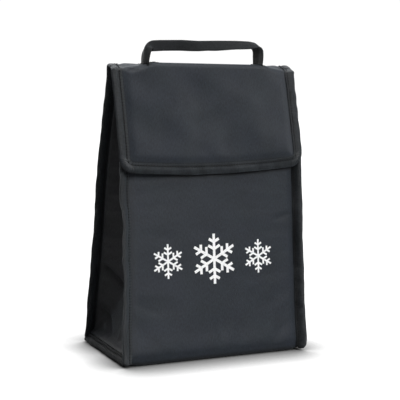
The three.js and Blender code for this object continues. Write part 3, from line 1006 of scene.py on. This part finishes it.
def bind(name, strip, line, seed, fold, cad, lean=0.0, foot=False):
    """A tape round a strip's edge. line is the (x, s) places along its inner edge and the way out of each."""
    (x, s), heading = line[0].T, line[1]
    spine, across, along, normal = strip.axes(x, s, SEAM_DEPTH)
    lateral = unit(across * heading[:, :1] + along * heading[:, 1:])
    pieces = tape(name, spine, lateral, normal, TAPE_WIDTH, seed, lean, foot)
    sew(*pieces, BINDING, "binding", fold, cad, flat=(2 * TAPE_WIDTH, distances(spine)[-1]), held="folded")


def side_line(strip, side, s0, s1):
    """A strip's left or right bound edge, from s0 to s1, and the way out of it."""
    s = np.arange(s0, s1, SEAM_STEP)
    x = strip.edges(s)[0 if side < 0 else 1]
    return np.column_stack([x, s]), np.column_stack([np.full(len(s), float(side)), 0 * s])


def build_bindings():
    front_start = FRONT_LINE.nearest(FRONT[0][0], SEAM_LIFT)
    back_start = BACK_LINE.nearest(BACK[0][0], SEAM_LIFT)
    for side, word in ((-1, "left"), (1, "right")):
        line = side_line(front_wall, side, front_start, FRONT_LINE.length)
        turn = RIGHT_LEAN
        if side < 0:
            s = line[0][:, 1]
            halfway = smooth(15 * MM, 90 * MM, s) * (1 - 0.7 * smooth(156 * MM, 178 * MM, s))
            turn = LEFT_LEAN[0] + LEFT_LEAN[1] * halfway
        bind(
            f"front_seam_{word}", front_wall, line, 51 + side, "front_wall",
            [f"front_binding_{word}"], np.radians(turn), foot=True,
        )
        line = side_line(back_wall, side, back_start, BACK_LINE.length + 0.6 * MM)
        bind(f"back_seam_{word}", back_wall, line, 61 + side, REAR_FOLD, [f"back_binding_{word}"], foot=True)


def flap_outline():
    """The flap's bound edge: down the left side, along the bottom and up the right."""
    end, radius = FLAP_SEAM, FLAP_CORNER
    left, left_out = side_line(flap_wall, -1, 0.4 * MM, end - radius)
    right, right_out = side_line(flap_wall, 1, 0.4 * MM, end - radius)
    corners = []
    for side, last, run in ((-1, left, (0, math.pi / 2)), (1, right, (math.pi / 2, 0))):
        angle = np.linspace(*run, 8)
        turn = np.column_stack([side * np.cos(angle), np.sin(angle)])
        corners.append((np.array([last[-1, 0] - side * radius, end - radius]) + radius * turn, turn))
    (left_corner, left_turn), (right_corner, right_turn) = corners
    x = np.arange(left_corner[-1, 0], right_corner[0, 0], SEAM_STEP)[1:]
    bottom = np.column_stack([x, np.full(len(x), end)])
    down = np.column_stack([0 * x, np.ones(len(x))])
    places = np.concatenate([left, left_corner, bottom, right_corner, right[::-1]])
    return places, np.concatenate([left_out, left_turn, down, right_turn, right_out[::-1]])


build_bindings()
bind(
    "flap_seam", flap_wall, flap_outline(), 71, FRONT_FOLD,
    ["flap_binding", "crest_binding_left", "crest_binding_right"],
)


# The base's bound edges droop outwards over the floor.
def build_base_seams():
    cos, sin = math.cos(BASE_DROOP), math.sin(BASE_DROOP)
    y = np.arange(FRONT[0][0] + 2.6 * MM, BACK[0][0] - 0.6 * MM, SEAM_STEP)
    for side, word in ((-1, "left"), (1, "right")):
        wave = 0.8 * MM * wander(y, 0 * y, 30 * MM, 81 + side)
        wave = wave + 0.7 * MM * wander(y, 0 * y, 11 * MM, 83 + side)
        x = np.full(len(y), side * (EDGE - 0.55 * TAPE_WIDTH))
        spine = np.column_stack([x, y, BASE_RISE + 0.8 * MM + wave])
        lateral = np.tile([side * cos, 0, -sin], (len(y), 1))
        normal = np.tile([side * sin, 0, cos], (len(y), 1))
        pieces = tape(f"base_seam_{word}", spine, lateral, normal, TAPE_WIDTH - 1.2 * MM, 85 + side)
        flat = (2 * TAPE_WIDTH, y[-1] - y[0])
        sew(*pieces, SHADED_BASE_TAPE, "binding", "shell", [f"base_binding_{word}"], flat, held="folded")


build_base_seams()


# The hem: a tape over the front wall's top edge.
def build_hem():
    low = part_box("front_hem")[0].z
    leg = FRONT_LINE.length - FRONT_LINE.nearest(on_line(*FRONT, low), low)
    outside, inside = -0.15 * MM, LINING[1] + 0.15 * MM
    middle, half = (outside + inside) / 2, (inside - outside) / 2
    turns = [math.pi * i / 10 for i in range(11)]

    def ring(extra):
        """The tape's section as (depth, distance below the edge), that much out from its inner face."""
        down = [(outside - extra, leg * (1 - i / 6)) for i in range(6)]
        over = [(middle - (half + extra) * math.cos(t), -(half + extra) * 0.7 * math.sin(t)) for t in turns]
        return down + over + [(inside + extra, leg * i / 6) for i in range(1, 7)]

    left, right = front_edges(FRONT_LINE.length)
    x = np.linspace(left + 0.5 * MM, right - 0.5 * MM, 90)
    spine, _, along, normal = front_wall.axes(x, np.full(len(x), FRONT_LINE.length))
    section = -np.array(ring(TAPE_CLOTH) + ring(0)[::-1])
    made = sweep("front_hem_tape", spine, normal, along, np.array([section] * len(x)))
    finish_piece(made, BINDING, "binding", "front_hem")
    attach(made, "front_wall")


build_hem()


# Hook and loop: a strip on the flap's lining and one on the front wall.
def build_closure(name, strip, chord, layer, cad, body):
    low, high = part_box(cad)
    ends = sorted(strip.path.nearest(on_line(*chord, z), z) for z in (low.z, high.z))

    def sides(s):
        return low.x + 0 * s, high.x + 0 * s

    made = panel(name, strip, *ends, layer, tuck=0, side=sides, step=1.6 * MM)
    finish_piece(made, CLOSURE, "closure", cad)
    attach(made, body)


build_closure("loop_strip", front_wall, FRONT, (-1.3 * MM, -0.05 * MM), "loop_tape", "front_wall")
on_lining = (LINING[1] + 0.05 * MM, LINING[1] + 1.25 * MM)
build_closure("hook_strip", flap_wall, FLAP, on_lining, "hook_tape", "flap")


# The print: snowflakes of six arms with two pairs of barbs, lying on the cover.
def arm_outline(reach):
    """One side of an arm from its root to its tip, as (along, across)."""
    w = 0.055 * reach
    c, s = math.cos(math.pi / 3), math.sin(math.pi / 3)
    points = [(math.sqrt(3) * w, w)]
    for at, barb in ((0.36 * reach, 0.26 * reach), (0.64 * reach, 0.22 * reach)):
        points.append((at, w))
        points.append((at + barb * c, w + barb * s))
        points.append((at + barb * c + 2 * w * s, w + barb * s - 2 * w * c))
        points.append((at + 2 * w / s, w))
    points.append((reach, w))
    return points


def build_print(word):
    low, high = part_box(f"front_print_{word}")
    reach = (high.z - low.z) / 2
    centre_x, centre_z = (low.x + high.x) / 2, (low.z + high.z) / 2
    centre_s = FRONT_LINE.nearest(on_line(*FRONT, centre_z), centre_z)
    side = arm_outline(reach)
    arm = side + [(a, -b) for a, b in reversed(side)]
    bm = bmesh.new()
    corners = []
    for k in range(6):
        turn = math.pi / 2 - k * math.pi / 3
        for a, b in arm:
            x = a * math.cos(turn) - b * math.sin(turn)
            y = a * math.sin(turn) + b * math.cos(turn)
            corners.append(bm.verts.new((centre_x + x, centre_s + y, 0)))
    bm.faces.new(corners)
    # Cut into squares, so that it follows the cloth.
    for way, middle in (((1, 0, 0), centre_x), ((0, 1, 0), centre_s)):
        for at in np.arange(middle - reach, middle + reach, 2.5 * MM):
            geom = [*bm.verts, *bm.edges, *bm.faces]
            bmesh.ops.bisect_plane(bm, geom=geom, plane_co=Vector((at, at, 0)) * Vector(way), plane_no=way)
    bm.verts.ensure_lookup_table()
    bm.verts.index_update()
    flat = np.array([v.co for v in bm.verts])
    faces = [tuple(v.index for v in f.verts) for f in bm.faces]
    loops = [e.link_loops[0] for e in bm.edges if len(e.link_faces) == 1]
    rim = [(loop.vert.index, loop.link_loop_next.vert.index) for loop in loops]
    bm.free()
    x, s = flat[:, 0], flat[:, 1]
    count = len(flat)
    faces += [tuple(count + k for k in reversed(f)) for f in faces]
    faces += [(b, a, count + a, count + b) for a, b in rim]
    points = [front_wall.point(x, s, -PRINT_HEIGHT), front_wall.point(x, s, -0.03 * MM)]
    made = make_object(f"print_{word}", np.concatenate(points), faces, np.concatenate([flat[:, :2]] * 2))
    outward(made)
    finish_piece(made, PRINT, "print", f"front_print_{word}")
    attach(made, "front_wall")


for word in ("left", "centre", "right"):
    build_print(word)


# The handle: a strap folded along its middle, opening out at its two roots.
def handle_line():
    """The fold's line in the front view, with the angle that the strap is open to at each place."""
    root = CREST_Z - 2 * MM
    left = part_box("handle_foot_left")[0].x + 4.3 * MM
    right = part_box("handle_foot_right")[1].x - 5.2 * MM
    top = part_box("handle_strap")[1].z
    marks = [
        # (x, z, degrees from folded shut)
        (left, root, 84),
        (left - 0.2 * MM, root + 8 * MM, 84),
        (left + 0.1 * MM, root + 14 * MM, 80),
        (left + 1.0 * MM, top - 7.0 * MM, 66),
        (left + 4.0 * MM, top - 3.6 * MM, 34),
        (left + 7.4 * MM, top - 2.0 * MM, 11),
        (left + 16 * MM, top - 1.4 * MM, 6),
        (left + 40 * MM, top - 0.6 * MM, 4),
        (left + 58 * MM, top - 1.0 * MM, 12),
        (left + 78 * MM, top - 0.2 * MM, 20),
        (left + 100 * MM, top + 0.3 * MM, 34),
        (right - 12 * MM, top + 0.1 * MM, 46),
        (right - 4.6 * MM, top - 1.0 * MM, 60),
        (right - 0.9 * MM, top - 4.2 * MM, 72),
        (right + 0.4 * MM, top - 8.5 * MM, 80),
        (right + 0.2 * MM, root + 9 * MM, 84),
        (right, root, 84),
    ]
    marks = np.array(marks, float)
    along = distances(marks[:, :2])
    fine = np.arange(0, along[-1], 1.0 * MM)
    line = np.stack([np.interp(fine, along, marks[:, k]) for k in range(3)], axis=1)
    for _ in range(4):
        line[1:-1] = 0.5 * line[1:-1] + 0.25 * (line[:-2] + line[2:])
    return line


def strap_point(along, opening, half, share, way):
    """A point of the folded strap's section: share across it from -1 to 1, way 1 for its upper face."""
    wave = 5 * float(wander(along, np.sign(share), 30 * MM, 91))
    angle = math.radians(opening + wave)
    # The fold turns from flat at its middle to the opening's angle.
    q = share * half
    length = math.sqrt(q * q + STRAP_BEND**2)
    curl = 0.7 * MM * share**2 * float(wander(along, share, 22 * MM, 93))
    height = -math.cos(angle) * (length - STRAP_BEND) + curl
    tangent = np.array([math.sin(angle), -math.cos(angle) * (q / length)])
    normal = np.array([-tangent[1], tangent[0]]) / np.linalg.norm(tangent)
    edge = 1 - 0.35 * smooth(0.9, 1.0, abs(share))
    ribs = 0.06 * MM * math.cos(share * 9 * math.pi)
    offset = way * (STRAP_CLOTH / 2 * edge + ribs)
    return math.sin(angle) * q + normal[0] * offset, height + normal[1] * offset


def build_handle():
    line = handle_line()
    x, z, opening = line.T
    along = distances(line[:, :2])
    heading = unit(np.gradient(line[:, :2], axis=0))
    spine = np.column_stack([x, np.full(len(x), CREST_Y), z])
    lateral = np.tile([0.0, 1.0, 0.0], (len(x), 1))
    # Where it is folded shut its two halves hang straight down.
    hang = smooth(64, 24, opening)[:, None]
    out = np.column_stack([-heading[:, 1], 0 * x, heading[:, 0]]) * (1 - hang)
    out = unit(out + np.array([0, 0, 1.0]) * hang)
    half = STRAP / 2 * (0.89 + 0.11 * smooth(CREST_Z, CREST_Z + 12 * MM, z))
    across = np.linspace(-1, 1, 19)
    round_trip = [(share, 1) for share in across] + [(share, -1) for share in across[::-1]]
    sections = [[strap_point(*place, *step) for step in round_trip] for place in zip(along, opening, half)]
    made = sweep("handle", spine, lateral, out, np.array(sections))
    finish_piece(made, WEBBING, "webbing", "handle_strap", "handle_foot_left", "handle_foot_right")
    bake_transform(made)


build_handle()


# The strap's two ends lie flat on the crest, sewn down in a box with a cross.
def build_handle_ends():
    for word in ("left", "right"):
        low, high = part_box(f"handle_end_{word}")
        low.y, high.y = low.y + TAB_INSET, high.y - TAB_INSET
        x, y = np.meshgrid(np.linspace(low.x, high.x, 14), np.linspace(low.y, high.y, 16), indexing="ij")
        z = CREST_Z + crown(x, y) - TAB_SINK
        upper, lower = (np.stack([x, y, z + thick], axis=-1) for thick in (TAB_CLOTH, 0))
        made = closed_sheet(f"handle_end_{word}_tab", upper, lower, np.stack([x, y], axis=-1))
        x0, y0 = Vector((low.x + TAB_SEAM, low.y + TAB_SEAM))
        x1, y1 = Vector((high.x - TAB_SEAM, high.y - TAB_SEAM))
        corners = [(x0, y0), (x1, y0), (x1, y1), (x0, y1), (x0, y0), (x1, y1), (x1, y0), (x0, y1)]
        places, headings = [], []
        for p, q in zip(np.array(corners), np.array(corners[1:])):
            span = np.linalg.norm(q - p)
            for k in range(int(span / STITCH_PITCH)):
                here = p + (q - p) * (k + 0.5) * STITCH_PITCH / span
                height = CREST_Z + float(crown(*here)) + 0.95 * MM - TAB_SINK
                places.append(np.array([*here, height]))
                headings.append(np.array([*(q - p) / span, 0]))
        up = [np.array([0.0, 0.0, 1.0])] * len(places)
        thread = stitches(f"handle_end_{word}_stitches", places, headings, up)
        flat = (high.x - low.x, high.y - low.y)
        sew(made, thread, WEBBING, "webbing", "crest", [f"handle_end_{word}"], flat, held="laid")


build_handle_ends()


# The room: a pale floor that runs off to white, and soft light from the front right, above and behind.
def for_camera(tree, seen, unseen, output):
    """Shows one shader to the camera, and the other to every other ray."""
    ray = add(tree, "LightPath").outputs["Is Camera Ray"]
    mix = add(tree, "MixShader", {"Fac": ray, 1: unseen, 2: seen})
    join(tree, tree.nodes[output], {"Surface": mix.outputs["Shader"]})


def build_floor():
    """The camera sees it glowing, over-exposed as on a studio sweep, with a painted contact shadow round the
    bag, and little of its light reaches the bag.
    """
    material, tree = new_material("floor")
    grain = add(tree, "TexNoise", {"Scale": 3.0}).outputs["Fac"]
    shader = tree.nodes["Principled BSDF"]
    join(tree, shader, {"Roughness": 0.8, "Base Color": ramp(tree, grain, [0.09] * 3, [0.11] * 3)})
    # Painted contact shadow: the floor's glow dims where ambient occlusion finds the bag close by.
    near = add(tree, "AmbientOcclusion", {"Distance": 50 * MM}, samples=16).outputs["AO"]
    bright = add(tree, "Emission", {"Strength": math_node(tree, "POWER", near, 3.6)}).outputs["Emission"]
    both = add(tree, "AddShader", {0: shader.outputs["BSDF"], 1: bright}).outputs["Shader"]
    dull = add(tree, "BsdfDiffuse", {"Color": (0.3, 0.3, 0.3, 1)}).outputs["BSDF"]
    for_camera(tree, both, dull, "Material Output")
    corners = [(x * FLOOR_REACH, y * FLOOR_REACH, 0) for x, y in ((-1, -1), (1, -1), (1, 1), (-1, 1))]
    floor = make_object("floor", corners, [(0, 1, 2, 3)], flat=True)
    floor.data.materials.append(material)
    return floor


def sun(name, place, softness, strength):
    data = bpy.data.lights.new(name, "SUN")
    data.angle = math.radians(softness)
    data.energy = strength
    lamp = bpy.data.objects.new(name, data)
    lamp.location = place
    lamp.rotation_euler = (-Vector(place)).to_track_quat("-Z", "Y").to_euler()
    bpy.context.scene.collection.objects.link(lamp)
    return lamp


def build_world():
    world = bpy.data.worlds.new("studio")
    world.use_nodes = True
    tree = world.node_tree
    soft = tree.nodes["Background"]
    join(tree, soft, {"Color": (1, 1, 1, 1), "Strength": 0.05})
    seen = add(tree, "Background", {"Strength": 1.3})
    for_camera(tree, seen.outputs["Background"], soft.outputs["Background"], "World Output")
    bpy.context.scene.world = world


def build_camera():
    yaw, pitch, roll = (math.radians(angle) for angle in CAMERA_TURN)
    ahead = Vector((math.sin(yaw) * math.cos(pitch), math.cos(yaw) * math.cos(pitch), -math.sin(pitch)))
    right = Vector((math.cos(yaw), -math.sin(yaw), 0))
    up = right.cross(ahead)
    cos, sin = math.cos(roll), math.sin(roll)
    right, up = right * cos + up * sin, up * cos - right * sin
    data = bpy.data.cameras.new("camera")
    data.sensor_width = 36
    data.lens = LENS
    camera = bpy.data.objects.new("camera", data)
    turn = Matrix((right, up, -ahead)).transposed().to_4x4()
    camera.matrix_world = Matrix.Translation(CAMERA_PLACE) @ turn
    bpy.context.scene.collection.objects.link(camera)
    bpy.context.scene.camera = camera


floor = build_floor()
lamps = [sun(*light) for light in SUNS]
build_world()
build_camera()
bpy.context.scene.view_settings.view_transform = "Standard"
